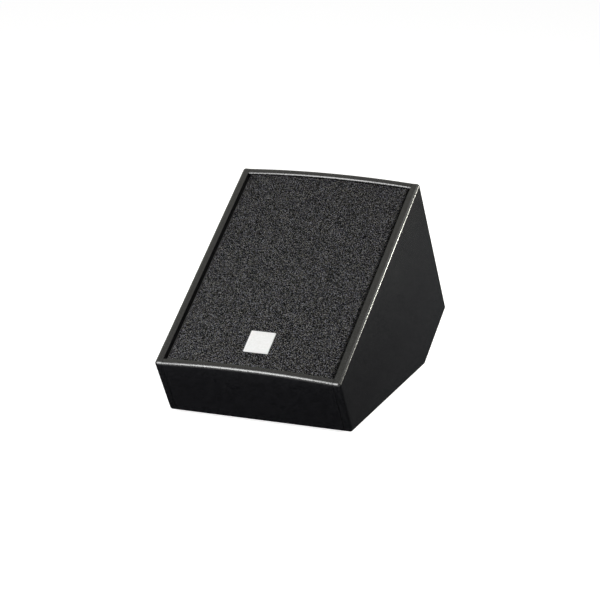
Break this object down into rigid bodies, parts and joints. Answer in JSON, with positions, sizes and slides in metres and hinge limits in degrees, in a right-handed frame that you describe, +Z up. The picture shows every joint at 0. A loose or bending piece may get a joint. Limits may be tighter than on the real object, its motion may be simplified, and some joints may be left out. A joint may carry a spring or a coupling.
{
  "type": "stage monitor wedge",
  "caption": "Wedge-shaped passive floor monitor loudspeaker with a tilted, bowed foam-faced grille, black painted wooden cabinet, woofer, horn, rear handle and connection cup.",
  "frame": {"origin": "middle of the footprint on the floor, under the centre of the bounding box", "axes": "+X to the object's right seen from the front, +Y from the low front to the tall rear, +Z up"},
  "size_m": [0.38, 0.6518, 0.4102],
  "materials": {
    "painted_wood": "semi-matt textured black enamel on birch plywood",
    "bare_wood": "bare softwood",
    "black_steel": "black powder coat",
    "zinc_steel": "zinc plated",
    "foam": "open-cell acoustic foam",
    "white_plate": "satin white",
    "black_plastic": "moulded black plastic",
    "black_rubber": "matt black rubber",
    "ferrite": "sintered ferrite",
    "cone_paper": "coated paper pulp",
    "gasket_card": "pressed card",
    "spider_cloth": "resin-treated cotton",
    "copper": "enamelled copper",
    "diaphragm_metal": "thin metal foil",
    "board": "glass-fibre circuit board",
    "capacitor_sleeve": "plastic sleeve",
    "resistor_ceramic": "cement body",
    "wadding": "polyester wadding",
    "lead_black": "insulated wire",
    "lead_red": "insulated wire",
    "lead_blue": "insulated wire"
  },
  "bodies": {
    "cabinet": {"side_panel_left": "painted_wood", "side_panel_right": "painted_wood", "front_panel": "painted_wood", "upper_rear_panel": "painted_wood", "lower_rear_panel": "painted_wood", "bottom_panel": "painted_wood", "baffle_board": "painted_wood", "baffle_battens": "bare_wood", "cross_brace": "bare_wood", "corner_blocks": "bare_wood", "grille_rails": "painted_wood", "grille": "black_steel", "grille_screws": "black_steel", "grille_foam": "foam", "badge_plate": "white_plate", "woofer_basket": "black_steel", "woofer_gasket": "gasket_card", "woofer_surround": "black_rubber", "woofer_spider": "spider_cloth", "woofer_top_plate": "zinc_steel", "woofer_magnet": "ferrite", "woofer_yoke": "zinc_steel", "woofer_terminals": "black_plastic", "woofer_screws": "black_steel", "woofer_tee_nuts": "zinc_steel", "horn": "black_plastic", "horn_screws": "black_steel", "hf_yoke": "zinc_steel", "hf_magnet": "ferrite", "hf_top_plate": "zinc_steel", "hf_cover": "black_plastic", "hf_surround": "spider_cloth", "hf_bolts": "zinc_steel", "port_tube_left": "black_plastic", "port_tube_right": "black_plastic", "crossover_board": "board", "crossover_spacers": "black_plastic", "crossover_screws": "zinc_steel", "crossover_inductors": "copper", "crossover_capacitors": "capacitor_sleeve", "crossover_resistors": "resistor_ceramic", "connection_cup": "black_plastic", "cup_gasket": "black_rubber", "cup_screws": "black_steel", "input_socket": "black_plastic", "link_socket": "black_plastic", "socket_cores": "black_plastic", "socket_screws": "zinc_steel", "handle_shell": "black_plastic", "handle_screws": "black_steel", "rubber_feet": "black_rubber", "foot_screws": "zinc_steel", "input_lead": "lead_black", "woofer_lead": "lead_red", "horn_lead": "lead_blue", "damping_wadding": "wadding"},
    "cone_assembly": {"woofer_cone": "cone_paper", "woofer_dust_cap": "cone_paper", "voice_coil": "copper"},
    "diaphragm": {"hf_diaphragm": "diaphragm_metal"}
  },
  "joints": [
    {"name": "cone_travel", "type": "slide", "parent": "cabinet", "child": "cone_assembly", "axis": [0, -0.5206, 0.8538], "range_m": [-0.006, 0.006], "stiffness_N_per_m": 4000, "deforming": ["woofer_surround", "woofer_spider"]},
    {"name": "diaphragm_travel", "type": "slide", "parent": "cabinet", "child": "diaphragm", "axis": [0, -0.5206, 0.8538], "range_m": [-0.0004, 0.0004], "stiffness_N_per_m": 300, "deforming": ["hf_surround"]}
  ]
}
